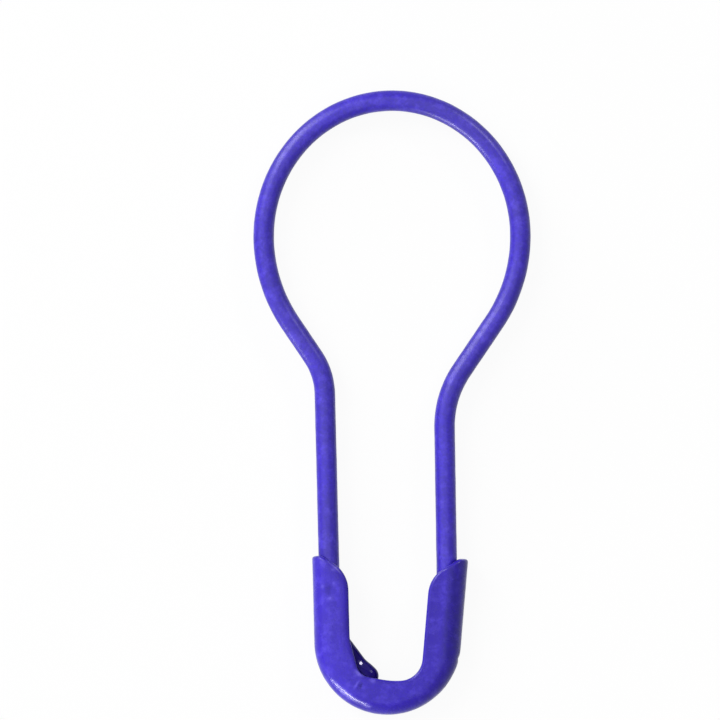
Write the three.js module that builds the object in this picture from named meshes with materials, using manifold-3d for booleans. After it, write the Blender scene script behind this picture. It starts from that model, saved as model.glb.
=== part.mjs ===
// Stitch marker: a bulb-shaped coilless safety pin.
// A spring wire is bent to a pear-shaped loop. One end is hooked and crimped in a small folded cap,
// and the other end is a straight arm with a ground point, which springs outward into the cap's catch.
//
// The part lies on its back: X is its width, Y its length and Z its thickness.
// The layout has Y = 0 at the foot of the cap, X = 0 in the middle of the loop, and Z = 0 on the
// cap's back wall. Lengths are in millimetres and angles in degrees.

import * as THREE from 'three';
import { mergeVertices } from 'three/addons/utils/BufferGeometryUtils.js';
import Module from 'manifold-3d';

const wasm = await Module();
wasm.setup();

// Loop of wire
const wireDiameter = 0.68;
const crownHeight = 16.43;        // foot of the cap to the loop's widest level
const crownHalfWidth = 4.41;      // half-ellipse of the crown, to the middle of the wire
const crownRise = 4.66;
const flankRadius = 5.3;          // flatter arc below the crown, on each side
const flankSlope = 34;            // where the flank's arc ends and its straight run begins
const fixedShoulderRadius = 2.4;  // bend from the flank into the fixed leg
const pinShoulderRadius = 3.4;    // bend from the flank into the pin arm

// Hooked end of the fixed leg, inside the cap
const hookHeight = 2.89;          // corner of the hook
const hookRadius = 1.0;
const hookAngle = 35.5;           // turn inward from the leg
const hookLength = 2.5;           // corner to the round end

// Pin arm
const pinLean = 0.9;              // it leans outward against the catch
const pointHeight = 1.75;         // foot of the cap to the tip
const pointLength = 2.3;          // ground taper
const pointRadius = 0.03;         // blunt tip
const pointBelly = 0.04;          // how far the taper bulges past a straight cone

// Cap
const sheet = 0.2;
const footRadius = 2.51;          // outside of the U's round foot
const footOffset = -0.15;         // middle of the foot, left of the middle of the loop
const footDepth = 1.17;           // outside of the foot to its inner edge
const fixedLegHeight = 5.41;
const fixedLegLean = 1.4;
const fixedLegWidth = 1.2;
const catchLegShort = 0.11;       // how much lower the catch leg ends
const catchLegLean = 4.8;
const catchLegWidth = 1.25;
const lipHold = 0.14;             // the catch's short back lip, past the middle of the pin arm
const lipDrop = 0.45;             // and below the tip
const lipRound = 0.3;
const mouthFlat = 0.3;            // square part of each mouth, beside the fold
const mouthSlope = 32;
const mouthRound = 1.0;
const catchRound = 0.8;           // inner corner of the foot on the catch side
const throatTop = 2.6;            // where the fixed leg's inner edge starts to close in
const throatSlope = 12;
const throatRound = 0.6;
const windowRound = 0.28;         // tight inner corner beside the hooked end
const dimpleHeight = 4.06;        // crimp mark on the fixed leg
const dimpleRadius = 0.2;
const dimpleDepth = 0.07;

// Clearances
const wallGap = 0.05;             // wire to the cap's front and back walls
const seatGap = 0.02;             // fixed leg to the fold
const catchGap = 0.06;            // pin arm to the fold, where its taper starts
const splitGap = 0.16;            // between the two halves of the loop at the crown
const elbowGap = 0.03;            // round the domed top of the pin arm

// Facets
const wireSides = 16;
const wireStep = 7.5;             // degrees of bend from one station to the next
const footStep = 5;
const cornerStep = 15;
const foldSteps = 12;
const domeSteps = 4;
const taperSteps = 6;
const dimpleSides = 48;
const trim = 0.5;                 // how far the cutting outlines run past the sheet
const weld = 1e-5;

const wireRadius = wireDiameter / 2;
const foldRadius = wireRadius + wallGap + sheet;
const thickness = 2 * foldRadius;
const midPlane = foldRadius;
const totalLength = crownHeight + crownRise + wireRadius;
const catchLegHeight = fixedLegHeight - catchLegShort;

const radians = THREE.MathUtils.degToRad;
const degrees = THREE.MathUtils.radToDeg;
const vec = (x, y) => new THREE.Vector2(x, y);

// Unit vector at an angle from +X.
const along = (angle) => vec(Math.cos(radians(angle)), Math.sin(radians(angle)));

// Point a distance away from another.
const from = (point, direction, distance) => point.clone().addScaledVector(direction, distance);

// Where the line through a crosses the line through b.
function crossing(a, directionA, b, directionB) {
  const reach = b.clone().sub(a).cross(directionB) / directionA.cross(directionB);
  return from(a, directionA, reach);
}

// A route is a list of stations. Each station has a point and the direction square to the route on
// its right-hand side.
function arcStations(centre, radius, start, end, step) {
  const count = Math.max(1, Math.round(Math.abs(end - start) / step));
  const hand = Math.sign(end - start);
  return Array.from({ length: count + 1 }, (_, i) => {
    const out = along(start + (end - start) * i / count);
    return { at: from(centre, out, radius), side: out.clone().multiplyScalar(hand) };
  });
}

// Stations round a bend at a corner between two straight runs.
function bendStations(before, corner, after, radius, step) {
  const come = corner.clone().sub(before).normalize();
  const go = after.clone().sub(corner).normalize();
  const turn = Math.atan2(come.cross(go), come.dot(go));
  const start = from(corner, come, -radius * Math.tan(Math.abs(turn) / 2));
  const outward = vec(come.y, -come.x).multiplyScalar(Math.sign(turn));
  const centre = from(start, outward, -radius);
  const startAngle = degrees(outward.angle());
  return arcStations(centre, radius, startAngle, startAngle + degrees(turn), step);
}

// Stations clockwise over the elliptical crown.
function crownStations(start, end) {
  const count = Math.round((start - end) / wireStep);
  return Array.from({ length: count + 1 }, (_, i) => {
    const turn = along(start + (end - start) * i / count);
    return {
      at: vec(crownHalfWidth * turn.x, crownHeight + crownRise * turn.y),
      side: vec(-crownRise * turn.x, -crownHalfWidth * turn.y).normalize(),
    };
  });
}

// Closed outline of corners, each square or rounded by its own radius.
function roundedOutline(corners) {
  return corners.flatMap(({ at, round }, i) => {
    const before = corners[(i + corners.length - 1) % corners.length].at;
    const after = corners[(i + 1) % corners.length].at;
    return round ? bendStations(before, at, after, round, cornerStep).map((s) => s.at) : [at];
  });
}

// Sweeps a section along a route. A section's point is (distance to the side, height).
function sweep(route, section) {
  const positions = route.flatMap(({ at, side, scale = 1 }) => section.flatMap((p) => {
    const point = from(at, side, p.x * scale);
    return [point.x, point.y, midPlane + p.y * scale];
  }));
  const n = section.length;
  const index = [];
  for (let i = 0; i < route.length - 1; i += 1) {
    for (let j = 0; j < n; j += 1) {
      const a = i * n + j;
      const b = i * n + (j + 1) % n;
      index.push(a, a + n, b, b, a + n, b + n);
    }
  }
  const last = (route.length - 1) * n;
  THREE.ShapeUtils.triangulateShape(section, []).forEach(([a, b, c]) => {
    index.push(a, b, c, last + a, last + c, last + b);
  });
  const geometry = new THREE.BufferGeometry();
  geometry.setAttribute('position', new THREE.Float32BufferAttribute(positions, 3));
  geometry.setIndex(index);
  return geometry;
}

// Upright prism of an outline between two heights.
function prism(outline, low, high) {
  const options = { depth: high - low, bevelEnabled: false, steps: 1 };
  return new THREE.ExtrudeGeometry(new THREE.Shape(outline), options).translate(0, 0, low);
}

// Solid that can be joined and cut.
function solid(geometry) {
  geometry.deleteAttribute('normal');
  geometry.deleteAttribute('uv');
  const merged = mergeVertices(geometry, weld);
  return new wasm.Manifold(new wasm.Mesh({
    numProp: 3,
    vertProperties: new Float32Array(merged.attributes.position.array),
    triVerts: new Uint32Array(merged.index.array),
  }));
}

function surface(body) {
  const mesh = body.getMesh();
  const geometry = new THREE.BufferGeometry();
  geometry.setAttribute('position', new THREE.Float32BufferAttribute(mesh.vertProperties, 3));
  geometry.setIndex(Array.from(mesh.triVerts));
  return geometry;
}

// Layout of the cap. Each leg's outer edge is a straight line that runs on into the round foot.
const footCentre = vec(footOffset, footRadius);
const fixedOut = along(180 + fixedLegLean);
const catchOut = along(-catchLegLean);
const fixedUp = along(90 + fixedLegLean);
const catchUp = along(90 - catchLegLean);

// Point at a height, a distance inside a leg's outer edge.
function insideLeg(out, up, distance, height) {
  const start = from(footCentre, out, footRadius - distance);
  return from(start, up, (height - start.y) / up.y);
}
const insideFixed = (distance, height) => insideLeg(fixedOut, fixedUp, distance, height);
const insideCatch = (distance, height) => insideLeg(catchOut, catchUp, distance, height);

// Layout of the wire. The fixed leg lies along the fold, and the pin arm comes closest to it where
// its taper starts. The elbow is the joint at the top of the straight arm, just under the shoulder.
const fixedInset = sheet + seatGap + wireRadius;
const armInset = sheet + catchGap + wireRadius;
const flankCentre = vec(crownHalfWidth - flankRadius, crownHeight);
const flankEnd = from(flankCentre, along(-flankSlope), flankRadius);
const mirrored = (point) => vec(-point.x, point.y);

const hookCorner = insideFixed(fixedInset, hookHeight);
const hookRun = along(-90 + fixedLegLean + hookAngle);
const hookEnd = from(hookCorner, hookRun, hookLength);
const fixedShoulder = crossing(mirrored(flankEnd), along(flankSlope - 90), hookCorner, fixedUp);

const armUp = along(90 + pinLean);
const taperStart = insideCatch(armInset, pointHeight + pointLength);
const pinShoulder = crossing(flankEnd, along(-90 - flankSlope), taperStart, armUp);
const shoulderReach = pinShoulderRadius * Math.tan(radians((flankSlope + pinLean) / 2));
const elbow = from(pinShoulder, armUp, -shoulderReach - wireRadius - elbowGap);
const armLength = elbow.distanceTo(taperStart) + pointLength;

const crownTop = vec(0, crownHeight + crownRise);
const splitTurn = degrees(splitGap / 2 / crownHalfWidth);

const roundSection = Array.from({ length: wireSides }, (_, i) => (
  along(360 * i / wireSides).multiplyScalar(wireRadius)
));

// Fixed side of the wire, from its hooked end up the leg, over shoulder and flank to the crown.
function fixedWire() {
  const dome = Array.from({ length: domeSteps }, (_, i) => {
    const lift = along(90 * (domeSteps - 1 - i) / domeSteps);
    const at = from(hookEnd, hookRun, wireRadius * (lift.y - 1));
    return { at, side: vec(-hookRun.y, hookRun.x), scale: lift.x };
  });
  return sweep([
    ...dome,
    ...bendStations(hookEnd, hookCorner, fixedShoulder, hookRadius, wireStep),
    ...bendStations(hookCorner, fixedShoulder, mirrored(flankEnd), fixedShoulderRadius, wireStep),
    ...arcStations(mirrored(flankCentre), flankRadius, 180 + flankSlope, 180, wireStep),
    ...crownStations(180, 90 + splitTurn).slice(1),
  ], roundSection);
}

// Spring side of the wire, from the crown over flank and shoulder to the elbow.
function springWire() {
  return sweep([
    ...crownStations(90 - splitTurn, 0),
    ...arcStations(flankCentre, flankRadius, 0, -flankSlope, wireStep).slice(1),
    ...bendStations(flankEnd, pinShoulder, elbow, pinShoulderRadius, wireStep),
  ], roundSection);
}

// Pin arm, turned about its own axis, with the middle of its domed top at Y = 0.
function pinArm() {
  const belly = vec((pointRadius + wireRadius) / 2 + pointBelly, pointLength / 2 - armLength);
  const taper = new THREE.QuadraticBezierCurve(
    vec(pointRadius, -armLength),
    belly,
    vec(wireRadius, pointLength - armLength),
  );
  const dome = Array.from({ length: 2 * domeSteps }, (_, i) => (
    along(90 * i / (2 * domeSteps)).multiplyScalar(wireRadius)
  ));
  const profile = [vec(0, -armLength), ...taper.getPoints(taperSteps), ...dome, vec(0, wireRadius)];
  return new THREE.LatheGeometry(profile, wireSides);
}

// Outline of the blank's cut edges. Outside the fold it runs clear of the sheet.
function blankOutline() {
  const slopeDrop = (width) => (width - mouthFlat) * Math.tan(radians(mouthSlope));
  const footEdge = vec(0, footDepth);
  const level = vec(1, 0);
  const throat = insideFixed(fixedLegWidth, throatTop);
  return roundedOutline([
    { at: insideFixed(-trim, fixedLegHeight) },
    { at: insideFixed(-trim, -trim) },
    { at: insideCatch(-trim, -trim) },
    { at: insideCatch(-trim, catchLegHeight) },
    { at: insideCatch(mouthFlat, catchLegHeight) },
    { at: insideCatch(catchLegWidth, catchLegHeight - slopeDrop(catchLegWidth)), round: mouthRound },
    { at: crossing(insideCatch(catchLegWidth, 0), catchUp, footEdge, level), round: catchRound },
    { at: crossing(throat, along(throatSlope - 90), footEdge, level), round: windowRound },
    { at: throat, round: throatRound },
    { at: insideFixed(fixedLegWidth, fixedLegHeight - slopeDrop(fixedLegWidth)), round: mouthRound },
    { at: insideFixed(mouthFlat, fixedLegHeight) },
  ]);
}

// What the back wall lacks beside the pin, so that the arm can step back round the short lip.
function reliefOutline() {
  const floor = pointHeight - lipDrop;
  const top = catchLegHeight + trim;
  return roundedOutline([
    { at: insideCatch(catchLegWidth + trim, floor) },
    { at: insideCatch(armInset + lipHold, floor), round: lipRound },
    { at: insideCatch(armInset + lipHold, top) },
    { at: insideCatch(catchLegWidth + trim, top) },
  ]);
}

// Crimp mark in the front wall, over the middle of the fixed leg.
function dimple() {
  const ballRadius = (dimpleRadius ** 2 + dimpleDepth ** 2) / (2 * dimpleDepth);
  const at = insideFixed(fixedInset, dimpleHeight);
  return new THREE.SphereGeometry(ballRadius, dimpleSides, dimpleSides / 2)
    .rotateX(Math.PI / 2)
    .translate(at.x, at.y, thickness + ballRadius - dimpleDepth);
}

// Cap: sheet folded to a hairpin section, bent round the U and trimmed to the blank's cut edges.
function cap() {
  const reach = Math.max(fixedLegWidth, catchLegWidth) + trim;
  const top = Math.max(fixedLegHeight, catchLegHeight) + trim;
  const fold = (radius, start, end) => arcStations(
    vec(foldRadius, 0), radius, start, end, Math.abs(end - start) / foldSteps,
  ).map((s) => s.at);
  const hairpin = [
    vec(reach, -foldRadius),
    vec(reach, sheet - foldRadius),
    ...fold(foldRadius - sheet, 270, 90),
    vec(reach, foldRadius - sheet),
    vec(reach, foldRadius),
    ...fold(foldRadius, 90, 270),
  ];
  const route = [
    { at: insideCatch(0, top), side: catchOut.clone().negate() },
    ...arcStations(footCentre, footRadius, 360 - catchLegLean, 180 + fixedLegLean, footStep),
    { at: insideFixed(0, top), side: fixedOut.clone().negate() },
  ];
  const blank = prism(blankOutline(), -trim, thickness + trim);
  const relief = prism(reliefOutline(), -trim, midPlane);
  const formed = solid(sweep(route, hairpin)).intersect(solid(blank));
  return surface(formed.subtract(solid(relief)).subtract(solid(dimple())));
}

const lacquer = { color: 0x4b3cc8, roughness: 0.22, metalness: 0.25 };

function addPiece(parent, name, geometry) {
  const mesh = new THREE.Mesh(geometry, new THREE.MeshStandardMaterial({ name, ...lacquer }));
  mesh.name = name;
  parent.add(mesh);
  return mesh;
}

// The fixed side and the cap belong to the marker. The spring side flexes about the crown, and the
// pin arm turns about the elbow.
const marker = new THREE.Group();
marker.position.y = -totalLength / 2;
addPiece(marker, 'cap', cap());
addPiece(marker, 'fixed_wire', fixedWire());

const springSide = new THREE.Group();
springSide.position.set(crownTop.x, crownTop.y, midPlane);
marker.add(springSide);
const spring = addPiece(springSide, 'spring_wire', springWire());
spring.position.copy(springSide.position).negate();

const pinSide = new THREE.Group();
pinSide.position.set(elbow.x - crownTop.x, elbow.y - crownTop.y, 0);
pinSide.rotation.z = radians(pinLean);
springSide.add(pinSide);
addPiece(pinSide, 'pin_arm', pinArm());

export default marker;
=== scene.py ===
"""Looks of a stitch marker: a bulb-shaped coilless safety pin in glossy violet-blue lacquer.

The row frame has +X across the loop, +Y from the cap to the crown and +Z out of the floor.
Lengths are in millimetres until a mesh is made. The layout has Y = 0 at the foot of the cap.
"""

import math

import bpy
import numpy as np
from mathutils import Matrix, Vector, geometry, noise


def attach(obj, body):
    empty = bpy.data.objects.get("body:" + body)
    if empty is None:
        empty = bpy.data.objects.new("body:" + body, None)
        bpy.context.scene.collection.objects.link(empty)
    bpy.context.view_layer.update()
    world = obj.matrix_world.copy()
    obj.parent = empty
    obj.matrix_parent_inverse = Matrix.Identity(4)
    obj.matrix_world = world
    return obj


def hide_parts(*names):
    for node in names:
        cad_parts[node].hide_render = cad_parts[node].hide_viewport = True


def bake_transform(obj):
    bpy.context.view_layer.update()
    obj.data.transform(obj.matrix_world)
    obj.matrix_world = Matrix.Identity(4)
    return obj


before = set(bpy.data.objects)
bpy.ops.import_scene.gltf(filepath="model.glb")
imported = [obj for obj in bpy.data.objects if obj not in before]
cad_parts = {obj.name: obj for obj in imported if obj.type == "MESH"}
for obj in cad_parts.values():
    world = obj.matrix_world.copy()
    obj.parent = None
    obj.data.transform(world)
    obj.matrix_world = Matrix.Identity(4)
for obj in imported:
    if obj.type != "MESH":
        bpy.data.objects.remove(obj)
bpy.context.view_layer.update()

MM = 0.001

# Wire
WIRE_RADIUS = 0.34
CROWN_HEIGHT = 16.43
CROWN_HALF_WIDTH = 4.41
CROWN_RISE = 4.66
FLANK_RADIUS = 5.3
FLANK_SLOPE = 34
FIXED_SHOULDER_RADIUS = 2.4
PIN_SHOULDER_RADIUS = 3.4
HOOK_HEIGHT = 2.89
HOOK_RADIUS = 1.0
HOOK_ANGLE = 35.5
HOOK_LENGTH = 2.5
TIP_RUN = 0.93                     # the last stretch of the hooked end, bent a little further
TIP_BEND = 10
TIP_LENGTH = 0.80
TIP_RADIUS = 1.6
PIN_LEAN = 0.9
POINT_HEIGHT = 1.75
POINT_LENGTH = 2.3
POINT_RADIUS = 0.03
POINT_BELLY = 0.04
ELBOW_GAP = 0.03

# Cap
SHEET = 0.2
FOOT_RADIUS = 2.51
FOOT_OFFSET = -0.15
FOOT_DEPTH = 1.17
FOOT_SLOPE = 9                     # the window's lower edge climbs toward the fixed leg
FOOT_LOW = -0.06
FOOT_LOW_ROUND = 2.5
LEG_HEIGHT = 5.45
FIXED_LEAN = 1.4
FIXED_WIDTH = 1.2
FIXED_CORNER_DROP = 0.01
CORNER_REACH = 0.16
CATCH_SHORT = 0.11
CATCH_LEAN = 4.8
CATCH_WIDTH = 1.27
LIP_HOLD = 0.14
LIP_DROP = 0.45
LIP_ROUND = 0.3
LIP_CORNER = 0.16
BACK_TUCK = 0.08                   # how far the back wall's edge hides behind the front's
MOUTH_FLAT = 0.3
MOUTH_SLOPE = 32
MOUTH_ROUND = 1.1
CATCH_ROUND = 0.8
THROAT_TOP = 2.6
THROAT_SLOPE = 15
THROAT_ROUND = 0.6
WINDOW_ROUND = 0.55
WALL_GAP = 0.05
SEAT_GAP = 0.02
CATCH_GAP = 0.06

FOLD_RADIUS = WIRE_RADIUS + WALL_GAP + SHEET
MID_RADIUS = FOLD_RADIUS - SHEET / 2
MID_PLANE = FOLD_RADIUS
TOTAL_LENGTH = CROWN_HEIGHT + CROWN_RISE + WIRE_RADIUS
CATCH_HEIGHT = LEG_HEIGHT - CATCH_SHORT

# Lacquer as a skin on the metal
WIRE_FILM = 0.014
CAP_FILM = 0.012
WIRE_WAVES = ((0.0035, 0.55, 1), (0.0018, 0.2, 2))   # height, size and seed of its unevenness
CAP_WAVES = ((0.004, 0.45, 5), (0.002, 0.18, 6))
SEED_SHIFT = (17.3, -9.1, 5.7)     # how far a seed moves the noise, in features
BEAD_GROWTH = 0.02                 # drop of lacquer on the hooked end
BEAD_REACH = 0.5
BEAD_ROOM = 0.1
HOOK_SHADE_FULL = 1.2                    # painted shade on the hooked end, which lies under the cap's front wall: full from the tip to here
HOOK_SHADE_REACH = 2.4                   # and fading out to here
POOL_RUN = 1.9                     # and the hooked end's own finish from the tip to here

# Fineness of the meshes
WIRE_STEP = 0.055
WIRE_SIDES = 72
FINE_RUN = 2.0                     # length of wire from its end with finer rings
FINE_STEP = 0.02
DOME_RINGS = 12
TAPER_RINGS = 40
NOSE_ANGLES = (25, 50, 70)
ARC_STEP = 0.25                    # degrees, in the dense lines that a mesh is sampled from
LINE_STEP = 0.02
EDGE_STEP = 0.05
SHEET_STEP = 0.06
MARK_STEP = 0.028
MARK_REACH = 0.5
FOLD_POINTS = 61
SMOOTH_PASSES = 3
RIM_STEPS = 7
RIM_POWER = 2.3                    # 2 is a half-round cut edge, more is squarer
SLOPE_STEP = 1e-3                  # between the two places that a direction is taken from
RING_INSET = 0.8                   # a ring of points inside the sheet's border, in edge steps
RING_ROOM = 0.55                   # and the room that the other points leave beside it
WELD = 1e-7                        # points closer than this are one
TINY = 1e-9                        # keeps a division off zero
LINE_PART = 200                    # points of a line that are compared at a time

# Photograph: pixels per millimetre, and the point of the part in the middle of the frame
PHOTO_SCALE = 29.1
PHOTO_SIZE = 720
PHOTO_MIDDLE = (-1.101, 1.464)


# Plane geometry

def along(angle):
    """Direction at an angle in degrees."""
    return np.array([math.cos(math.radians(angle)), math.sin(math.radians(angle))])


def cross2(a, b):
    return a[0] * b[1] - a[1] * b[0]


def crossing(a, toward_a, b, toward_b):
    """Where the line through a crosses the line through b."""
    return a + toward_a * cross2(b - a, toward_b) / cross2(toward_a, toward_b)


def heading(vector):
    return math.degrees(math.atan2(vector[1], vector[0]))


def arc(centre, radius, start, end):
    """Dense points round a centre, between two angles in degrees."""
    count = max(2, int(round(abs(end - start) / ARC_STEP)) + 1)
    return [centre + radius * along(angle) for angle in np.linspace(start, end, count)]


def bend(before, corner, after, radius):
    """Dense points round a bend between two straight runs."""
    come = (corner - before) / np.linalg.norm(corner - before)
    go = (after - corner) / np.linalg.norm(after - corner)
    turn = math.degrees(math.atan2(cross2(come, go), float(come @ go)))
    out = np.array([come[1], -come[0]]) * math.copysign(1, turn)
    start = corner - come * radius * math.tan(math.radians(abs(turn) / 2))
    return arc(start - out * radius, radius, heading(out), heading(out) + turn)


def rounded(corners):
    """Open line through (point, rounding) corners."""
    line = [corners[0][0]]
    for (before, _), (corner, radius), (after, _) in zip(corners, corners[1:], corners[2:]):
        line += bend(before, corner, after, radius) if radius else [corner]
    return line + [corners[-1][0]]


def lengths(line):
    """Length run at each point of a line."""
    steps = np.linalg.norm(np.diff(line, axis=0), axis=1)
    return np.concatenate([[0], np.cumsum(steps)])


def sampled(line, at):
    """Points of a line at lengths along it."""
    line = np.array(line)
    return np.stack([np.interp(at, lengths(line), axis) for axis in line.T], 1)


def resampled(line, step):
    total = lengths(line)[-1]
    return sampled(line, np.linspace(0, total, int(round(total / step)) + 1))


def eased(share):
    """0 below 0, 1 above 1, and a soft step between."""
    share = np.clip(share, 0, 1)
    return share * share * (3 - 2 * share)


# Layout of the cap's legs

FOOT_CENTRE = np.array([FOOT_OFFSET, FOOT_RADIUS])
FIXED_OUT, FIXED_UP = along(180 + FIXED_LEAN), along(90 + FIXED_LEAN)
CATCH_OUT, CATCH_UP = along(-CATCH_LEAN), along(90 - CATCH_LEAN)


def inside_leg(out, up, distance, height):
    """Point at a height, a distance inside a leg's outer edge."""
    start = FOOT_CENTRE + out * (FOOT_RADIUS - distance)
    return start + up * (height - start[1]) / up[1]


def inside_fixed(distance, height):
    return inside_leg(FIXED_OUT, FIXED_UP, distance, height)


def inside_catch(distance, height):
    return inside_leg(CATCH_OUT, CATCH_UP, distance, height)


def from_photo(x, y):
    """Layout point under a pixel of the 720 x 720 picture."""
    half = PHOTO_SIZE / 2
    across = PHOTO_MIDDLE[0] + (x - half) / PHOTO_SCALE
    up = PHOTO_MIDDLE[1] + TOTAL_LENGTH / 2 - (y - half) / PHOTO_SCALE
    return np.array([across, up])


# Layout of the wire

FIXED_INSET = SHEET + SEAT_GAP + WIRE_RADIUS
ARM_INSET = SHEET + CATCH_GAP + WIRE_RADIUS
FLANK_CENTRE = np.array([CROWN_HALF_WIDTH - FLANK_RADIUS, CROWN_HEIGHT])
FLANK_END = FLANK_CENTRE + FLANK_RADIUS * along(-FLANK_SLOPE)
MIRROR = np.array([-1, 1])
HOOK_CORNER = inside_fixed(FIXED_INSET, HOOK_HEIGHT)
HOOK_RUN = along(-90 + FIXED_LEAN + HOOK_ANGLE)
HOOK_END = HOOK_CORNER + HOOK_RUN * HOOK_LENGTH
TIP_CORNER = HOOK_END - HOOK_RUN * TIP_RUN
TIP_OUT = along(-90 + FIXED_LEAN + HOOK_ANGLE + TIP_BEND)
TIP_CENTRE = TIP_CORNER + TIP_OUT * (TIP_LENGTH - WIRE_RADIUS)
FIXED_SHOULDER = crossing(FLANK_END * MIRROR, along(FLANK_SLOPE - 90), HOOK_CORNER, FIXED_UP)
ARM_UP = along(90 + PIN_LEAN)
TAPER_START = inside_catch(ARM_INSET, POINT_HEIGHT + POINT_LENGTH)
PIN_SHOULDER = crossing(FLANK_END, along(-90 - FLANK_SLOPE), TAPER_START, ARM_UP)
SHOULDER_REACH = PIN_SHOULDER_RADIUS * math.tan(math.radians((FLANK_SLOPE + PIN_LEAN) / 2))
ELBOW = PIN_SHOULDER - ARM_UP * (SHOULDER_REACH + WIRE_RADIUS + ELBOW_GAP)
ARM_LENGTH = np.linalg.norm(ELBOW - TAPER_START) + POINT_LENGTH

# A shallow dimple that the cap's tooling pressed in the hooked end, with a burnished middle
DIMPLE_NEAR = from_photo(357.9, 664.9)
DIMPLE_TILT = 28
DIMPLE_DEPTH = 0.031
DIMPLE_REACH = (0.50, 0.15)        # along the wire and across it
BURNISHED = (0.12, 0.08)
BURNISHED_FACING = 0.5             # least share of the dimple's facing side that is burnished


# Meshes

def row(points):
    """Layout millimetres to metres in the row frame."""
    points = np.array(points, float).reshape(-1, 3)
    return (points - [0, TOTAL_LENGTH / 2, 0]) * MM


def new_mesh(name, points, faces):
    mesh = bpy.data.meshes.new(name)
    mesh.from_pydata(row(points).tolist(), [], faces)
    mesh.validate()
    mesh.update()
    mesh.polygons.foreach_set("use_smooth", [True] * len(mesh.polygons))
    piece = bpy.data.objects.new(name, mesh)
    bpy.context.scene.collection.objects.link(piece)
    return piece


def add_value(piece, name, values):
    attribute = piece.data.attributes.new(name, "FLOAT", "POINT")
    attribute.data.foreach_set("value", np.asarray(values, np.float32))


def noise_at(points, size, seed):
    """Smooth noise about 0, with features of a size in millimetres."""
    shift = Vector([seed * step for step in SEED_SHIFT])
    return np.array([noise.noise(Vector(p) / size + shift) for p in points])


def wavy(points, waves):
    """How far the lacquer's uneven skin lifts each point."""
    return sum(height * noise_at(points, size, seed) for height, size, seed in waves)


def tube(count):
    """Faces of a tube of rings, closed by a fan to one point at each end."""
    faces = []
    first, last = count * WIRE_SIDES, count * WIRE_SIDES + 1
    end = (count - 1) * WIRE_SIDES
    for j in range(WIRE_SIDES):
        k = (j + 1) % WIRE_SIDES
        for a in range(0, end, WIRE_SIDES):
            b = a + WIRE_SIDES
            faces.append((a + j, b + j, b + k, a + k))
        faces.append((first, j, k))
        faces.append((last, end + k, end + j))
    return faces


# Wire pieces

POOLED_SLOT, BURNISHED_SLOT = 1, 2     # materials of the wire after its plain one


def wire_line():
    """Middle line of the wire from its hooked end over the loop to the elbow."""
    crown = [
        np.array([CROWN_HALF_WIDTH, CROWN_RISE]) * along(angle) + [0, CROWN_HEIGHT]
        for angle in np.arange(180, -ARC_STEP, -ARC_STEP)
    ]
    return (
        [TIP_CENTRE]
        + bend(TIP_CENTRE, TIP_CORNER, HOOK_CORNER, TIP_RADIUS)
        + bend(TIP_CORNER, HOOK_CORNER, FIXED_SHOULDER, HOOK_RADIUS)
        + bend(HOOK_CORNER, FIXED_SHOULDER, FLANK_END * MIRROR, FIXED_SHOULDER_RADIUS)
        + arc(FLANK_CENTRE * MIRROR, FLANK_RADIUS, 180 + FLANK_SLOPE, 180)[:-1]
        + crown
        + arc(FLANK_CENTRE, FLANK_RADIUS, 0, -FLANK_SLOPE)[1:]
        + bend(FLANK_END, PIN_SHOULDER, ELBOW, PIN_SHOULDER_RADIUS)
        + [ELBOW]
    )


def swept(centres, sides_of, radii, ends):
    """Points of a round wire along plane centres, with a point closing each end."""
    turn = np.linspace(0, 2 * math.pi, WIRE_SIDES, endpoint=False)
    points = []
    for centre, side, radius in zip(centres, sides_of, radii):
        flat = centre + np.outer(np.cos(turn) * radius, side)
        points.append(np.column_stack([flat, MID_PLANE + np.sin(turn) * radius]))
    tips = [[*tip, MID_PLANE] for tip in ends]
    return np.vstack(points + [np.array(tips)])


def domed(centres, sides_of, radii, back, forward):
    """The same run with a half-round end on each side."""
    swell = np.radians(np.linspace(90, 0, DOME_RINGS + 1))[1:-1]
    start = [centres[0] + back * radii[0] * math.sin(a) for a in swell]
    end = [centres[-1] + forward * radii[-1] * math.sin(a) for a in swell[::-1]]
    start_radii = [radii[0] * math.cos(a) for a in swell]
    end_radii = [radii[-1] * math.cos(a) for a in swell[::-1]]
    sides = [sides_of[0]] * len(start) + list(sides_of) + [sides_of[-1]] * len(end)
    return start + list(centres) + end, sides, start_radii + list(radii) + end_radii


def ripple(points):
    """Runs of lacquer: moves the points of each ring in and out by a little."""
    rings = points[:-2].reshape(-1, WIRE_SIDES, 3)
    arm = rings - rings.mean(1, keepdims=True)
    length = np.linalg.norm(arm, axis=2, keepdims=True)
    push = wavy(rings.reshape(-1, 3), WIRE_WAVES).reshape(-1, WIRE_SIDES, 1)
    push *= np.clip(length / WIRE_RADIUS, 0, 1)
    rings = rings + arm / np.maximum(length, TINY) * push
    return np.vstack([rings.reshape(-1, 3), points[-2:]])


def press_dimple(points, middle, tangent):
    """Presses the dimple into the wire. Tells which points are on its burnished middle."""
    tilt = math.radians(DIMPLE_TILT)
    along_wire = np.array([*tangent, 0])
    normal = np.array([-tangent[1] * math.sin(tilt), tangent[0] * math.sin(tilt), math.cos(tilt)])
    away = points - [*middle, MID_PLANE]
    run, aside = away @ along_wire, away @ np.cross(normal, along_wire)
    facing = eased(away @ normal / WIRE_RADIUS)
    share = facing * np.exp(-(run / DIMPLE_REACH[0]) ** 2 - (aside / DIMPLE_REACH[1]) ** 2)
    points -= np.outer(DIMPLE_DEPTH * share, normal)
    return (facing > BURNISHED_FACING) & (np.hypot(run / BURNISHED[0], aside / BURNISHED[1]) < 1)


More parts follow.
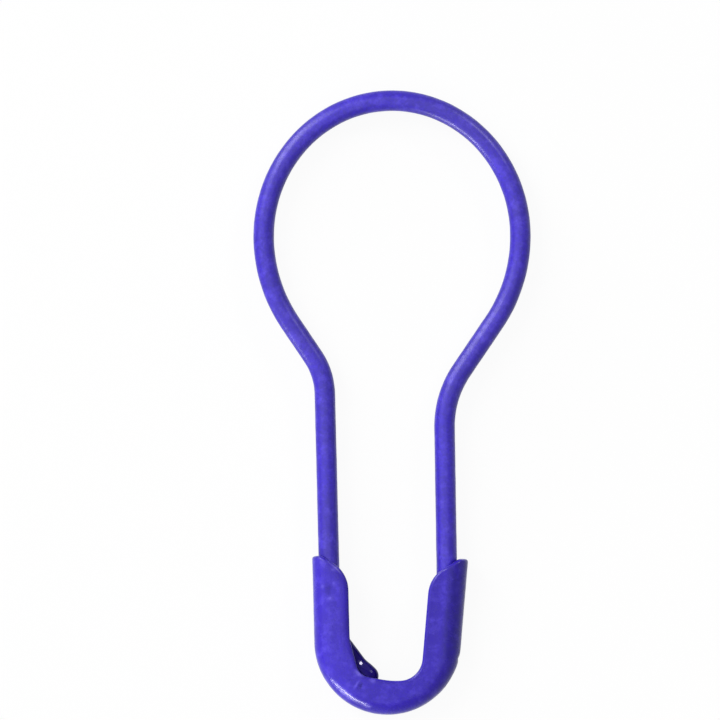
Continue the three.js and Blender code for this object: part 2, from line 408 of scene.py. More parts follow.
def wire_loop():
    """The wire from its hooked end to the elbow, with the lacquer pooled on its hooked end and
    painted shade there, under the cap's front wall.
    """
    line = wire_line()
    total = lengths(line)[-1]
    count = int(round((total - FINE_RUN) / WIRE_STEP)) + 1
    run = np.concatenate([np.arange(0, FINE_RUN, FINE_STEP), np.linspace(FINE_RUN, total, count)])
    centres = sampled(line, run)
    tangents = np.gradient(centres, run, axis=0)
    tangents /= np.linalg.norm(tangents, axis=1, keepdims=True)
    sides = np.column_stack([tangents[:, 1], -tangents[:, 0]])
    bead = eased(1 - np.abs(run - BEAD_ROOM) / BEAD_REACH)
    radii = WIRE_RADIUS + WIRE_FILM + BEAD_GROWTH * bead
    ends = (TIP_CENTRE - tangents[0] * radii[0], ELBOW + tangents[-1] * radii[-1])
    spot = np.argmin(np.linalg.norm(centres - DIMPLE_NEAR, axis=1))
    dimple = (centres[spot], -tangents[spot])
    centres, sides, radii = domed(centres, sides, radii, -tangents[0], tangents[-1])
    points = ripple(swept(centres, sides, radii, ends))
    burnished = press_dimple(points, *dimple)
    piece = new_mesh("bent_wire", points, tube(len(centres)))
    # painted shade on the hooked end, fading out away from its tip
    from_tip = np.linalg.norm(points[:, :2] - TIP_CENTRE, axis=1)
    add_value(piece, "hook_shade", eased((HOOK_SHADE_REACH - from_tip) / (HOOK_SHADE_REACH - HOOK_SHADE_FULL)))
    for face in piece.data.polygons:
        corners = list(face.vertices)
        if burnished[corners].all():
            face.material_index = BURNISHED_SLOT
        elif from_tip[corners].min() < POOL_RUN:
            face.material_index = POOLED_SLOT
    return piece


def pin_arm():
    """Straight arm with a ground point. Its round top is centred on the elbow."""
    taper = np.linspace(0, 1, TAPER_RINGS)[:, None]
    radius = WIRE_RADIUS + WIRE_FILM
    tip = np.array([POINT_RADIUS, ARM_LENGTH])
    belly = np.array([(POINT_RADIUS + radius) / 2 + POINT_BELLY, ARM_LENGTH - POINT_LENGTH / 2])
    root = np.array([radius, ARM_LENGTH - POINT_LENGTH])
    curve = root * (1 - taper) ** 2 + belly * 2 * taper * (1 - taper) + tip * taper ** 2
    swell = np.radians(np.linspace(90, 0, DOME_RINGS + 1))[1:]
    dome = [(radius * math.cos(a), -radius * math.sin(a)) for a in swell]
    shank = [(radius, y) for y in np.arange(WIRE_STEP, root[1], WIRE_STEP)]
    nose = [
        (POINT_RADIUS * math.cos(a), ARM_LENGTH + POINT_RADIUS * math.sin(a))
        for a in np.radians(NOSE_ANGLES)
    ]
    profile = dome + shank + curve.tolist() + nose
    down = -ARM_UP
    side = np.array([down[1], -down[0]])
    centres = [ELBOW + down * y for _, y in profile]
    ends = (ELBOW - down * radius, ELBOW + down * (ARM_LENGTH + POINT_RADIUS))
    points = swept(centres, [side] * len(profile), [r for r, _ in profile], ends)
    return new_mesh("pointed_arm", ripple(points), tube(len(profile)))


# Cap piece

# It is one folded sheet. A place on it is (s, q). s runs along the U from the catch leg over the foot
# to the fixed leg, and q across the sheet from the back wall over the fold to the front wall.
FOOT_TURN = math.radians(180 - FIXED_LEAN - CATCH_LEAN)
FOOT_SCALE = FOOT_RADIUS - MID_RADIUS
FOOT_RUN = FOOT_SCALE * FOOT_TURN
HALF_FOLD = MID_RADIUS * math.pi / 2


def section(q):
    """Distance inside the outer edge and height of the sheet's middle, and its turn on the fold."""
    turn = np.clip(q / MID_RADIUS, -math.pi / 2, math.pi / 2)
    past = np.maximum(np.abs(q) - HALF_FOLD, 0)
    distance = FOLD_RADIUS - MID_RADIUS * np.cos(turn) + past
    return distance, MID_PLANE + MID_RADIUS * np.sin(turn), turn


def plan(s, distance):
    """Layout point from the place along the U and the distance inside its outer edge."""
    turn = np.clip(s / FOOT_SCALE, 0, FOOT_TURN)
    angle = math.radians(-CATCH_LEAN) - turn
    reach = FOOT_RADIUS - distance
    flat = np.stack([reach * np.cos(angle), reach * np.sin(angle)], -1) + FOOT_CENTRE
    up_catch = np.maximum(-s, 0)[..., None] * CATCH_UP
    up_fixed = np.maximum(s - FOOT_RUN, 0)[..., None] * FIXED_UP
    return flat + up_catch + up_fixed


def place(point):
    """(s, distance) of a layout point."""
    arm = np.array(point) - FOOT_CENTRE
    if arm[0] > 0 and arm @ CATCH_UP > 0:
        return -(arm @ CATCH_UP), FOOT_RADIUS - arm @ CATCH_OUT
    if arm[0] < 0 and arm @ FIXED_UP > 0:
        return FOOT_RUN + arm @ FIXED_UP, FOOT_RADIUS - arm @ FIXED_OUT
    turn = math.radians(-CATCH_LEAN) - math.atan2(arm[1], arm[0])
    return FOOT_SCALE * (turn % (2 * math.pi)), FOOT_RADIUS - np.linalg.norm(arm)


def on_front(point):
    s, distance = place(point)
    return np.array([s, HALF_FOLD + distance - FOLD_RADIUS])


def on_back(point):
    return on_front(point) * [1, -1]


# Marks of the tooling on the outer skin, as (place, reach along the U, reach across, height)
CRIMP = on_front(from_photo(330, 590))
CRIMP_LEFT_LIP = on_front(from_photo(325.5, 587.5))
CRIMP_LOWER_LIP = on_front(from_photo(331, 598.5))
STAKE = on_front(from_photo(361.5, 685.5))
STAKE_LIP = on_front(from_photo(357.5, 684.5))
FOLD_NICK = on_front(from_photo(459, 658.5)) * [1, 0]
MARKS = (
    (CRIMP, 0.15, 0.08, -0.018),
    (CRIMP_LEFT_LIP, 0.10, 0.06, 0.012),
    (CRIMP_LOWER_LIP, 0.07, 0.07, 0.010),
    (STAKE, 0.05, 0.09, -0.016),
    (STAKE_LIP, 0.05, 0.17, 0.012),
    (FOLD_NICK, 0.06, 0.16, -0.03),
)
# Spots in the same form, with a painted highlight (above 0) or painted shade (below 0)
LEFT_OF_CRIMP = on_front(from_photo(324, 586.5))
BELOW_CRIMP = on_front(from_photo(330.5, 598))
ABOVE_CRIMP = on_front(from_photo(334, 583))
IN_CRIMP = on_front(from_photo(328.5, 589))
LEFT_OF_STAKE = on_front(from_photo(356.5, 684.5))
IN_STAKE = on_front(from_photo(360.5, 685.5))
FIXED_MOUTH_CORNER = on_front(from_photo(322, 561))
FIXED_MOUTH_SLOPE = on_front(from_photo(334, 569))
WINDOW_CORNER = on_front(from_photo(359, 673))
WINDOW_EDGE = on_front(from_photo(372, 679.5))
CATCH_MOUTH = on_front(from_photo(454, 565))
HIGHLIGHT_AND_SHADE_SPOTS = (
    (LEFT_OF_CRIMP, 0.08, 0.05, 0.6),
    (BELOW_CRIMP, 0.06, 0.07, 0.6),
    (ABOVE_CRIMP, 0.05, 0.05, 0.4),
    (IN_CRIMP, 0.17, 0.08, -0.9),
    (LEFT_OF_STAKE, 0.05, 0.17, 0.45),
    (IN_STAKE, 0.07, 0.09, -1.5),
    (FIXED_MOUTH_CORNER, 0.14, 0.10, 0.35),
    (FIXED_MOUTH_SLOPE, 0.06, 0.09, 0.7),
    (WINDOW_CORNER, 0.22, 0.07, 1.5),
    (WINDOW_EDGE, 0.16, 0.07, 1.5),
    (CATCH_MOUTH, 0.16, 0.09, 0.6),
)
# Painted shade along the front wall's cut edge, most on the fixed leg, and on the catch leg's fold
EDGE_SHADE = 1.0
EDGE_SHADE_REACH = 0.19
EDGE_SHADE_FROM = on_front(from_photo(446, 580))[0]
EDGE_SHADE_TO = on_front(from_photo(339, 574))[0]
EDGE_SHADE_EASE = 0.2
EDGE_SHADE_CATCH = 0.45            # share of it on the catch side
FOLD_SHADE = 0.85
FOLD_SHADE_WIDTH = 0.70
FOLD_SHADE_SOFT = 0.16
FOLD_SHADE_RUN = 1.4
CUT_EDGE_REACH = 0.09              # painted shade on the skin beside the cut edge
FRONT_CURL = 0.13                  # the front wall's cut edge, rolled down on the fixed leg
FRONT_CURL_REACH = 0.20
FRONT_ROLL = 0.016                 # the swelling beside it
FRONT_ROLL_PLACE = 0.29
FRONT_ROLL_REACH = 0.09
FIXED_SIDE = 0.80                  # share of the foot's run where the roll starts
FIXED_SIDE_RUN = 1.2
CATCH_SIDE = 0.5                   # place on the U where the catch leg's ridge has faded out
FRONT_FROM = 0.6                   # share of the half fold where the front wall's forms start
FRONT_EASE = 0.3
FOLD_RIDGE = 0.014                 # ridge where the catch leg's fold begins
FOLD_RIDGE_PLACE = 0.66
FOLD_RIDGE_REACH = 0.11
FOOT_FLAT = 0.023                  # flattened stretch of the fold on the foot
FOOT_FLAT_FROM = on_front(from_photo(373, 706))[0]
FOOT_FLAT_TO = on_front(from_photo(328, 678))[0]
FOOT_FLAT_Q = 0.38
FOOT_FLAT_REACH = 0.16
FOOT_FLAT_EASE = 0.4
FOOT_DETAIL = 0.26                 # finer mesh on each side of it


def mouth_height(leg_height, distance):
    return leg_height - max(distance - MOUTH_FLAT, 0) * math.tan(math.radians(MOUTH_SLOPE))


def mouth_over_fold(inside, leg_height, corner_drop):
    """The mouth's edge from the back wall over the fold to the front wall."""
    edge = []
    for q in np.linspace(-HALF_FOLD, HALF_FOLD, FOLD_POINTS):
        distance = float(section(q)[0])
        drop = corner_drop * max(0.0, 1 - (distance - SHEET / 2) / CORNER_REACH) ** 2
        height = mouth_height(leg_height, distance) - drop
        edge.append(np.array([place(inside(distance, height))[0], q]))
    return edge


def sheet_outline():
    """Closed line of the sheet's edges in (s, q), and the front wall's part of it."""
    foot_low = np.array([FOOT_LOW, FOOT_DEPTH])
    throat = inside_fixed(FIXED_WIDTH, THROAT_TOP)
    window = crossing(throat, along(THROAT_SLOPE - 90), foot_low, along(-FOOT_SLOPE))
    catch_corner = crossing(inside_catch(CATCH_WIDTH, 0), CATCH_UP, foot_low, along(0))
    tuck = np.array([0, BACK_TUCK])
    fixed_side = [
        (inside_fixed(FOLD_RADIUS, mouth_height(LEG_HEIGHT, FOLD_RADIUS)), 0),
        (inside_fixed(FIXED_WIDTH, mouth_height(LEG_HEIGHT, FIXED_WIDTH)), MOUTH_ROUND),
        (throat, THROAT_ROUND),
    ]
    catch_end = [(inside_catch(FOLD_RADIUS, mouth_height(CATCH_HEIGHT, FOLD_RADIUS)), 0)]
    front = rounded(fixed_side + [
        (window, WINDOW_ROUND),
        (foot_low, FOOT_LOW_ROUND),
        (catch_corner, CATCH_ROUND),
        (inside_catch(CATCH_WIDTH, mouth_height(CATCH_HEIGHT, CATCH_WIDTH)), MOUTH_ROUND),
    ] + catch_end)
    lip = ARM_INSET + LIP_HOLD
    back = rounded(fixed_side + [
        (window - tuck, WINDOW_ROUND),
        (foot_low - tuck, FOOT_LOW_ROUND),
        (catch_corner - [CATCH_ROUND, BACK_TUCK], CATCH_ROUND),
        (inside_catch(lip, POINT_HEIGHT - LIP_DROP), LIP_ROUND),
        (inside_catch(lip, mouth_height(CATCH_HEIGHT, lip)), LIP_CORNER),
    ] + catch_end)
    front_line = [on_front(p) for p in resampled(front, LINE_STEP)]
    back_line = [on_back(p) for p in resampled(back, LINE_STEP)]
    fixed_edge = mouth_over_fold(inside_fixed, LEG_HEIGHT, FIXED_CORNER_DROP)
    catch_edge = mouth_over_fold(inside_catch, CATCH_HEIGHT, 0)
    loop = fixed_edge[:-1] + front_line[:-1] + catch_edge[::-1][:-1] + back_line[::-1]
    return np.array(loop), resampled(front_line, LINE_STEP)


def inset(loop, distance):
    """Closed line moved to its inner side, and the outward direction at each point."""
    area = np.sum(loop[:, 0] * np.roll(loop[:, 1], -1) - loop[:, 1] * np.roll(loop[:, 0], -1))
    toward = np.roll(loop, -1, 0) - np.roll(loop, 1, 0)
    toward /= np.linalg.norm(toward, axis=1, keepdims=True)
    inward = np.column_stack([-toward[:, 1], toward[:, 0]]) * math.copysign(1, area)
    return loop + inward * distance, -inward


def smoothed(loop):
    """Closed line with its kinks softened."""
    for _ in range(SMOOTH_PASSES):
        loop = 0.5 * loop + 0.25 * (np.roll(loop, 1, 0) + np.roll(loop, -1, 0))
    return loop


def distance_to(points, line):
    """Distance from each point to the nearest point of a dense line."""
    best = np.full(len(points), np.inf)
    for part in np.array_split(line, max(1, len(line) // LINE_PART)):
        gap = np.linalg.norm(points[:, None, :] - part[None], axis=2).min(1)
        best = np.minimum(best, gap)
    return best


def inside_polygon(points, loop):
    x, y = points[:, 0], points[:, 1]
    inside = np.zeros(len(points), bool)
    for (x1, y1), (x2, y2) in zip(loop, np.roll(loop, -1, 0)):
        crosses = (y1 > y) != (y2 > y)
        if crosses.any():
            inside ^= crosses & (x < (x2 - x1) * (y - y1) / (y2 - y1) + x1)
    return inside


def hump(values, middle, reach):
    """Soft ridge of height 1."""
    return np.exp(-((values - middle) / reach) ** 2)


def bump(places, centre, reach_s, reach_q):
    """Round or long soft bump of height 1 on the sheet."""
    away = (places - centre) / [reach_s, reach_q]
    return np.exp(-np.sum(away ** 2, axis=1))


def on_flat_stretch(places):
    """Share of the flattened stretch of the fold at each place."""
    s, q = places[:, 0], places[:, 1]
    on_foot = eased((s - FOOT_FLAT_FROM) / FOOT_FLAT_EASE)
    on_foot *= eased((FOOT_FLAT_TO - s) / FOOT_FLAT_EASE)
    return on_foot * hump(q, FOOT_FLAT_Q, FOOT_FLAT_REACH)


def middle_surface(places, front_line):
    """Layout points of the sheet's middle."""
    s, q = places[:, 0], places[:, 1]
    distance, height, turn = section(q)
    dent = FOOT_FLAT * on_flat_stretch(places)
    distance = distance + dent * np.cos(turn)
    height = height - dent * np.sin(turn)
    front = np.clip((q - HALF_FOLD * FRONT_FROM) / FRONT_EASE, 0, 1)
    edge = distance_to(places, front_line)
    on_fixed = eased((s - FOOT_RUN * FIXED_SIDE) / FIXED_SIDE_RUN)
    on_catch = eased(CATCH_SIDE - s)
    curl = FRONT_CURL * on_fixed * np.clip(1 - edge / FRONT_CURL_REACH, 0, 1) ** 2
    curl -= FRONT_ROLL * on_fixed * hump(edge, FRONT_ROLL_PLACE, FRONT_ROLL_REACH)
    curl -= FOLD_RIDGE * on_catch * hump(distance, FOLD_RIDGE_PLACE, FOLD_RIDGE_REACH)
    return np.column_stack([plan(s, distance), height - curl * front])


def summed(spots, places):
    """Height at each place of soft bumps given as (place, reach_s, reach_q, height)."""
    return sum(height * bump(places, *spot) for *spot, height in spots)


def painted_edge_and_fold_shade(places, front_line):
    """Share of painted shade along the front wall's cut edge and on the catch leg's fold."""
    s = places[:, 0]
    distance = section(places[:, 1])[0]
    off_mouths = eased((s - EDGE_SHADE_FROM) / EDGE_SHADE_EASE)
    off_mouths *= eased((EDGE_SHADE_TO - s) / EDGE_SHADE_EASE)
    near = eased(1 - distance_to(places, front_line) / EDGE_SHADE_REACH)
    on_fixed = eased((s - FOOT_RUN * FIXED_SIDE) / FIXED_SIDE_RUN)
    sides = EDGE_SHADE_CATCH + (1 - EDGE_SHADE_CATCH) * on_fixed
    fold = eased((FOLD_SHADE_WIDTH - distance) / FOLD_SHADE_SOFT)
    on_catch = eased((FOLD_SHADE_RUN - s) / FOLD_SHADE_RUN)
    return EDGE_SHADE * near * off_mouths * sides + FOLD_SHADE * fold * on_catch


def slanted_grid(step, low, high):
    """Places of equal triangles over a rectangle."""
    rows = np.arange(low[1], high[1], step * math.sqrt(3) / 2)
    return np.array([
        (x + (step / 2 if i % 2 else 0), y)
        for i, y in enumerate(rows)
        for x in np.arange(low[0], high[0], step)
    ])


def needs_detail(places):
    """True near the marks and along the flattened stretch of the fold."""
    s, q = places[:, 0], places[:, 1]
    marked = [np.linalg.norm(places - centre, axis=1) < MARK_REACH for centre in (CRIMP, STAKE)]
    flattened = (s > FOOT_FLAT_FROM) & (s < FOOT_FLAT_TO) & (abs(q - FOOT_FLAT_Q) < FOOT_DETAIL)
    return marked[0] | marked[1] | flattened


def sheet_places(border):
    """Triangles over the sheet inside its border line, finer round the marks."""
    inner_ring = inset(border, EDGE_STEP * RING_INSET)[0]
    low, high = border.min(0), border.max(0)
    coarse, fine = slanted_grid(SHEET_STEP, low, high), slanted_grid(MARK_STEP, low, high)
    grid = np.vstack([coarse[~needs_detail(coarse)], fine[needs_detail(fine)]])
    grid = grid[inside_polygon(grid, inner_ring)]
    grid = grid[distance_to(grid, inner_ring) > EDGE_STEP * RING_ROOM]
    seeds = np.vstack([border, inner_ring, grid])
    count = len(border)
    edges = [(i, (i + 1) % count) for i in range(count)]
    made = geometry.delaunay_2d_cdt([Vector(p) for p in seeds], edges, [], 1, WELD)
    places = np.array([tuple(v) for v in made[0]])
    index_of = {origin: i for i, group in enumerate(made[3]) for origin in group}
    return places, [tuple(face) for face in made[2]], [index_of[i] for i in range(count)]


def unit(vectors):
    """Rows of vectors scaled to length 1."""
    return vectors / np.linalg.norm(vectors, axis=1, keepdims=True)


def cut_edge(middle, normal, beyond, outer_lift):
    """Rows of points round the sheet's cut edge, from the outer skin to the inner one."""
    half = SHEET / 2
    rows = []
    for k in range(1, RIM_STEPS):
        turn = math.pi * k / RIM_STEPS
        up = math.copysign(abs(math.cos(turn)) ** (2 / RIM_POWER), math.cos(turn))
        out = math.sin(turn) ** (2 / RIM_POWER)
        lift = half * up + outer_lift * max(up, 0)
        rows.append(middle + normal * lift[:, None] + beyond * half * out)
    return rows


def surface_frame(places, front_line):
    """The sheet's middle, its directions along s and q, and its outward normal."""
    def slope(step):
        return middle_surface(places + step, front_line) - middle_surface(places - step, front_line)

    middle = middle_surface(places, front_line)
    along_s, along_q = slope([SLOPE_STEP, 0]), slope([0, SLOPE_STEP])
    normal = unit(np.cross(along_s, along_q))
    if normal[np.argmax(middle[:, 2]), 2] < 0:
        normal = -normal
    return middle, along_s, along_q, normal


def rim_faces(rim, n, faces):
    """Faces that join the two skins of n points round the cut edge."""
    count = len(rim)
    made = [list(range(2 * n + k * count, 2 * n + (k + 1) * count)) for k in range(RIM_STEPS - 1)]
    rows = [rim] + made + [[n + i for i in rim]]
    ring = [
        (upper[i], lower[i], lower[(i + 1) % count], upper[(i + 1) % count])
        for upper, lower in zip(rows, rows[1:])
        for i in range(count)
    ]
    used = {(face[i], face[(i + 1) % 3]) for face in faces for i in range(3)}
    return ring if (rim[0], rim[1]) in used else [face[::-1] for face in ring]


def add_cap_values(piece, places, rim, border, front_line):
    """Values that the cap's lacquer reads, at the two skins and then the rows of the cut edge."""
    n, count = len(places), len(rim)
    total = 2 * n + (RIM_STEPS - 1) * count
    # painted shade beside the cut edge, full on its rows
    edge = np.ones(total)
    edge[:n] = edge[n:2 * n] = np.clip(1 - distance_to(places, border) / CUT_EDGE_REACH, 0, 1)
    add_value(piece, "cut_edge", edge)
    # painted highlights and shade at the spots, less the painted shade along the edges and fold
    painted_shading = np.zeros(total)
    painted_shading[:n] = summed(HIGHLIGHT_AND_SHADE_SPOTS, places) - painted_edge_and_fold_shade(places, front_line)
    painted_shading[2 * n:2 * n + count] = painted_shading[rim]
    add_value(piece, "painted_light_and_shade", np.clip(painted_shading, -1, 1))
    polished = np.zeros(total)
    polished[:n] = on_flat_stretch(places)
    add_value(piece, "burnished", polished)
    leg = np.zeros(total)
    leg[:n] = leg[n:2 * n] = eased(places[:, 0] / FOOT_RUN)
    leg[2 * n:] = np.tile(leg[rim], RIM_STEPS - 1)
    add_value(piece, "fixed_side", leg)


def cap_shell():
    """The folded sheet: an outer and an inner skin, joined round the cut edge."""
    loop, front_line = sheet_outline()
    loop = smoothed(resampled(np.vstack([loop, loop[:1]]), EDGE_STEP)[:-1])
    border, outward = inset(loop, SHEET / 2)
    places, faces, rim = sheet_places(border)
    middle, along_s, along_q, normal = surface_frame(places, front_line)
    a, b, c = faces[0]
    if np.cross(middle[b] - middle[a], middle[c] - middle[a]) @ normal[a] < 0:
        faces = [face[::-1] for face in faces]

    n, half = len(places), SHEET / 2
    lift = CAP_FILM + wavy(middle, CAP_WAVES) + summed(MARKS, places)
    points = [middle + normal * (half + lift[:, None]), middle - normal * half]
    beyond = unit(along_s[rim]) * outward[:, :1] + unit(along_q[rim]) * outward[:, 1:]
    beyond = unit(beyond - normal[rim] * np.sum(beyond * normal[rim], axis=1, keepdims=True))
    points += cut_edge(middle[rim], normal[rim], beyond, lift[rim])
    skins = faces + [tuple(n + i for i in face[::-1]) for face in faces]
    piece = new_mesh("folded_cap", np.vstack(points), skins + rim_faces(rim, n, faces))
    add_cap_values(piece, places, rim, border, front_line)
    return piece


# Materials

# Lacquer colours: plain, deep (also painted shade beside the cut edges), light, a painted highlight
# for the cap's lit spots, dark grain that also serves as painted shade, and painted shade for the
# hooked end.
LACQUER = (0.028, 0.007, 0.53)
LACQUER_DEEP_AND_SHADE = (0.021, 0.005, 0.38)
LACQUER_LIGHT = (0.090, 0.057, 0.73)
LACQUER_PAINTED_HIGHLIGHT = (0.19, 0.15, 0.86)
LACQUER_GRAIN_AND_SHADE = (0.011, 0.003, 0.25)
LACQUER_HOOK_SHADE = (0.009, 0.002, 0.15)
# Patches as (size, detail, roughness, noise where they start, noise where they are full)
DEPTH_PATCHES = (1.6, 3, 0.5, 0.32, 0.68)
GRAIN_PATCHES = (0.10, 2, 0.6, 0.40, 0.66)
LIGHT_PATCHES = (0.35, 4, 0.7, 0.48, 0.72)
SPOT_PATCHES = (0.22, 3, 0.5, 0.40, 0.62)
GLOSS_PATCHES = (0.2, 3, 0.5, 0.3, 0.7)
GRAIN_SHARE = 0.55
LIGHT_SHARE = 0.55
SPOT_LEAST = 0.4                   # what is left of a painted highlight or painted shade spot between its patches
LEG_MIDDLE = 0.45                  # share of the way to the fixed leg where the cap is plain
FIXED_LIGHT = 0.20                 # the fixed leg is lighter
CATCH_DEEP = 0.8                   # and the catch leg deeper
CUT_EDGE_FROM = 0.2
CUT_EDGE_SHADE = 0.5
BURNISH_FROM, BURNISH_FULL = 0.3, 0.8
BURNISH_ROUGHNESS = 0.65           # share of the roughness that is left
SHEEN = 0.28                       # fine overspray, which pales the edges
SHEEN_ROUGHNESS = 0.3
GLOSS_TINT = (0.90, 0.86, 1.0)
GLASSY = 1.5                       # index of refraction of the lacquer
PEEL_SIZE = 0.16
PEEL_STRENGTH = 0.35

# Finishes. The orange peel's height is in millimetres.
WIRE_FINISH = {"roughness": (0.32, 0.44), "gloss_level": 0.62, "peel_height": 0.014}
POOLED_FINISH = {"roughness": (0.08, 0.12), "gloss_level": 0.08, "peel_height": 0.001, "sheen": 0}
BURNISHED_FINISH = {**POOLED_FINISH, "roughness": (0.06, 0.09), "gloss_level": 0.40}
CAP_FINISH = {
    "roughness": (0.24, 0.36), "gloss_level": 0.38, "peel_height": 0.004, "peel_detail": 1,
    "grain_share": 0.40, "of_cap": True,
}


class Nodes:
    """Small helper to place and join shader nodes."""

    def __init__(self, tree):
        self.tree = tree
        tree.nodes.clear()

    def add(self, kind, **values):
        node = self.tree.nodes.new(kind)
        for name, value in values.items():
            setattr(node, name, value)
        return node

    def join(self, source, target):
        self.tree.links.new(source, target)

    def noise(self, coordinates, size_mm, detail, roughness=0.5):
        node = self.add("ShaderNodeTexNoise")
        node.inputs["Scale"].default_value = 1 / (size_mm * MM)
        node.inputs["Detail"].default_value = detail
        node.inputs["Roughness"].default_value = roughness
        self.join(coordinates, node.inputs["Vector"])
        return node.outputs["Fac"]

    def attribute(self, name):
        return self.add("ShaderNodeAttribute", attribute_name=name).outputs["Fac"]

    def ranged(self, value, low, high, to_low, to_high):
        node = self.add("ShaderNodeMapRange")
        limits = {"From Min": low, "From Max": high, "To Min": to_low, "To Max": to_high}
        for name, number in limits.items():
            node.inputs[name].default_value = number
        self.join(value, node.inputs["Value"])
        return node.outputs["Result"]

    def patches(self, coordinates, kind, to_low, to_high):
        """Uneven value between two numbers."""
        *form, low, high = kind
        return self.ranged(self.noise(coordinates, *form), low, high, to_low, to_high)

    def math(self, operation, first, second):
        node = self.add("ShaderNodeMath", operation=operation)
        for socket, value in zip(node.inputs, (first, second)):
            if isinstance(value, (int, float)):
                socket.default_value = value
            else:
                self.join(value, socket)
        return node.outputs[0]

    def mixed(self, factor, first, second):
        """Two colours mixed. The Mix node's colour sockets are inputs 6 and 7 and output 2."""
        node = self.add("ShaderNodeMix", data_type="RGBA")
        self.join(factor, node.inputs["Factor"])
        for socket, colour in ((node.inputs[6], first), (node.inputs[7], second)):
            if isinstance(colour, tuple):
                socket.default_value = (*colour, 1)
            else:
                self.join(colour, socket)
        return node.outputs[2]


def lacquer(name, roughness, gloss_level, peel_height, peel_detail=3,
            grain_share=GRAIN_SHARE, sheen=SHEEN, of_cap=False):
    """Glossy lacquer with uneven depth of colour, a fine grain and orange peel. On the cap it also
    carries painted highlights and painted shade, and on the wire painted shade at the hooked end.
    """
    material = bpy.data.materials.new(name)
    material.use_nodes = True
    nodes = Nodes(material.node_tree)
    where = nodes.add("ShaderNodeTexCoord").outputs["Object"]
    shader = nodes.add("ShaderNodeBsdfPrincipled")
    out = nodes.add("ShaderNodeOutputMaterial")
    nodes.join(shader.outputs[0], out.inputs[0])

    depth = nodes.patches(where, DEPTH_PATCHES, 0, 1)
    colour = nodes.mixed(depth, LACQUER_DEEP_AND_SHADE, LACQUER)
    grain = nodes.patches(where, GRAIN_PATCHES, 0, grain_share)
    colour = nodes.mixed(grain, colour, LACQUER_GRAIN_AND_SHADE)
    light = nodes.patches(where, LIGHT_PATCHES, 0, LIGHT_SHARE)
    if of_cap:
        leg = nodes.attribute("fixed_side")
        light = nodes.math("ADD", light, nodes.ranged(leg, LEG_MIDDLE, 1, 0, FIXED_LIGHT))
        deep = nodes.ranged(leg, 0, LEG_MIDDLE, CATCH_DEEP, 0)
        colour = nodes.mixed(deep, colour, LACQUER_DEEP_AND_SHADE)
    colour = nodes.mixed(light, colour, LACQUER_LIGHT)
    if of_cap:
        # painted shade beside and on the cut edges
        edge = nodes.ranged(nodes.attribute("cut_edge"), CUT_EDGE_FROM, 1, 0, CUT_EDGE_SHADE)
        colour = nodes.mixed(edge, colour, LACQUER_DEEP_AND_SHADE)
        # painted highlights (above 0) and painted shade (below 0) on the cap
        patches = nodes.patches(where, SPOT_PATCHES, SPOT_LEAST, 1)
        painted_shading = nodes.math("MULTIPLY", nodes.attribute("painted_light_and_shade"), patches)
        colour = nodes.mixed(nodes.ranged(painted_shading, 0, 1, 0, 1), colour, LACQUER_PAINTED_HIGHLIGHT)
        colour = nodes.mixed(nodes.ranged(painted_shading, 0, -1, 0, 1), colour, LACQUER_GRAIN_AND_SHADE)
    else:
        # painted shade on the wire's hooked end, under the cap's front wall
        colour = nodes.mixed(nodes.attribute("hook_shade"), colour, LACQUER_HOOK_SHADE)
    nodes.join(colour, shader.inputs["Base Color"])
    gloss = nodes.patches(where, GLOSS_PATCHES, *roughness)
    if of_cap:
        burnished = nodes.attribute("burnished")
        smooth = nodes.ranged(burnished, BURNISH_FROM, BURNISH_FULL, 1, BURNISH_ROUGHNESS)
        gloss = nodes.math("MULTIPLY", gloss, smooth)
    nodes.join(gloss, shader.inputs["Roughness"])

    peel = nodes.add("ShaderNodeBump")
    peel.inputs["Strength"].default_value = PEEL_STRENGTH
    peel.inputs["Distance"].default_value = peel_height * MM
    nodes.join(nodes.noise(where, PEEL_SIZE, peel_detail), peel.inputs["Height"])
    nodes.join(peel.outputs[0], shader.inputs["Normal"])

    shader.inputs["IOR"].default_value = GLASSY
    shader.inputs["Specular IOR Level"].default_value = gloss_level
    shader.inputs["Sheen Weight"].default_value = sheen
    shader.inputs["Sheen Roughness"].default_value = SHEEN_ROUGHNESS
    shader.inputs["Specular Tint"].default_value = (*GLOSS_TINT, 1)
    return material


# Pieces on their bodies


def dress():
    """Makes the pieces and says which body each rides on."""
    wire_finish = lacquer("wire_lacquer", **WIRE_FINISH)
    pool_finish = lacquer("wire_lacquer_pooled", **POOLED_FINISH)
    shine_finish = lacquer("wire_lacquer_burnished", **BURNISHED_FINISH)

    loop = wire_loop()
    for finish in (wire_finish, pool_finish, shine_finish):
        loop.data.materials.append(finish)
    arm = pin_arm()
    arm.data.materials.append(wire_finish)
    cap = cap_shell()
    cap.data.materials.append(lacquer("cap_lacquer", **CAP_FINISH))

    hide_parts("fixed_wire", "spring_wire")
    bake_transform(loop)
    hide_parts("pin_arm")
    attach(arm, "pin")
    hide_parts("cap")
    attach(cap, "base")


# Stage

# The floor's size, the lamps and the camera's clipping are in metres. The floor's drop, the lens and
# the sensor are in millimetres.
FLOOR_SIZE = 6.0
FLOOR_DROP = 0.016
FLOOR_SEEN = (0.98, 0.98, 0.98)
FLOOR_BOUNCE = (0.10, 0.10, 0.10)
FLOOR_GLOW = 0.93
WORLD_LIGHT = 0.05
LAMP_DISTANCE = 0.5
# Name, azimuth, elevation, width, height, brightness. A brightness of 1 looks like white paper.
LAMPS = (
    ("overhead", 185, 68, 1.0, 1.0, 0.83),
    ("upper_left", 138, 24, 0.20, 0.62, 6.2),
    ("lower_left", 233, 4.2, 0.28, 0.06, 31),
    ("upper_right", 52, 28, 0.14, 0.36, 1.3),
    ("glint", 44, 34, 0.07, 0.06, 27),
)
CAMERA_LENS = 600
CAMERA_SENSOR = 36
CAMERA_CLIP = (0.01, 20)


def background_rays(nodes):
    """1 for rays that show the background: seen, mirrored or through glass."""
    rays = nodes.add("ShaderNodeLightPath").outputs
    mirrored = nodes.math("MAXIMUM", rays["Is Glossy Ray"], rays["Is Transmission Ray"])
    return nodes.math("MAXIMUM", rays["Is Camera Ray"], mirrored)


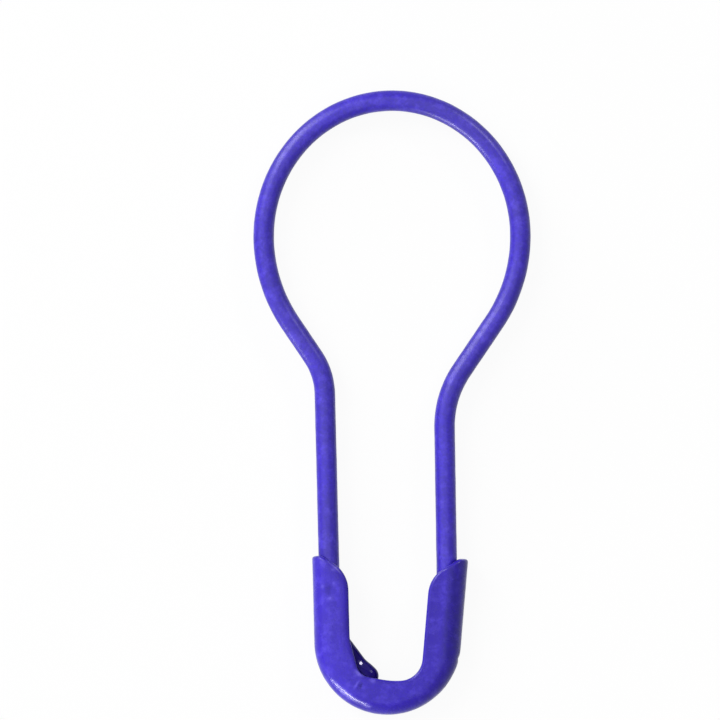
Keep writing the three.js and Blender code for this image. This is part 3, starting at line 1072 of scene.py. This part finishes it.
def add_floor():
    half, z = FLOOR_SIZE / 2, -FLOOR_DROP * MM
    mesh = bpy.data.meshes.new("floor")
    corners = [(-half, -half, z), (half, -half, z), (half, half, z), (-half, half, z)]
    mesh.from_pydata(corners, [], [(0, 1, 2, 3)])
    floor = bpy.data.objects.new("floor", mesh)
    bpy.context.scene.collection.objects.link(floor)
    material = bpy.data.materials.new("white_paper")
    material.use_nodes = True
    nodes = Nodes(material.node_tree)
    seen = background_rays(nodes)
    paper = nodes.add("ShaderNodeBsdfDiffuse")
    nodes.join(nodes.mixed(seen, FLOOR_BOUNCE, FLOOR_SEEN), paper.inputs["Color"])
    glow = nodes.add("ShaderNodeEmission")
    mix = nodes.add("ShaderNodeMixShader")
    nodes.join(nodes.math("MULTIPLY", seen, FLOOR_GLOW), mix.inputs[0])
    nodes.join(paper.outputs[0], mix.inputs[1])
    nodes.join(glow.outputs[0], mix.inputs[2])
    out = nodes.add("ShaderNodeOutputMaterial")
    nodes.join(mix.outputs[0], out.inputs[0])
    mesh.materials.append(material)


def add_world():
    world = bpy.data.worlds.new("studio")
    bpy.context.scene.world = world
    world.use_nodes = True
    nodes = Nodes(world.node_tree)
    background = nodes.add("ShaderNodeBackground")
    background.inputs["Color"].default_value = (1, 1, 1, 1)
    strength = nodes.ranged(background_rays(nodes), 0, 1, WORLD_LIGHT, 1)
    nodes.join(strength, background.inputs["Strength"])
    out = nodes.add("ShaderNodeOutputWorld")
    nodes.join(background.outputs[0], out.inputs[0])


def add_lamp(name, azimuth, elevation, width, height, brightness):
    """Soft rectangular lamp facing the part."""
    data = bpy.data.lights.new(name, "AREA")
    data.shape = "RECTANGLE"
    data.size, data.size_y = width, height
    data.energy = brightness * math.pi * width * height
    lamp = bpy.data.objects.new(name, data)
    a, e = math.radians(azimuth), math.radians(elevation)
    away = Vector((math.cos(e) * math.cos(a), math.cos(e) * math.sin(a), math.sin(e)))
    lamp.location = away * LAMP_DISTANCE
    lamp.rotation_euler = away.to_track_quat("Z", "Y").to_euler()
    lamp.visible_camera = False
    bpy.context.scene.collection.objects.link(lamp)


def add_camera():
    data = bpy.data.cameras.new("camera")
    data.lens, data.sensor_width = CAMERA_LENS, CAMERA_SENSOR
    data.clip_start, data.clip_end = CAMERA_CLIP
    distance = PHOTO_SIZE / PHOTO_SCALE * CAMERA_LENS / CAMERA_SENSOR
    camera = bpy.data.objects.new("camera", data)
    camera.location = Vector((*PHOTO_MIDDLE, distance + MID_PLANE)) * MM
    bpy.context.scene.collection.objects.link(camera)
    bpy.context.scene.camera = camera


dress()
add_floor()
add_world()
for lamp_values in LAMPS:
    add_lamp(*lamp_values)
add_camera()
bpy.context.scene.view_settings.view_transform = "Standard"
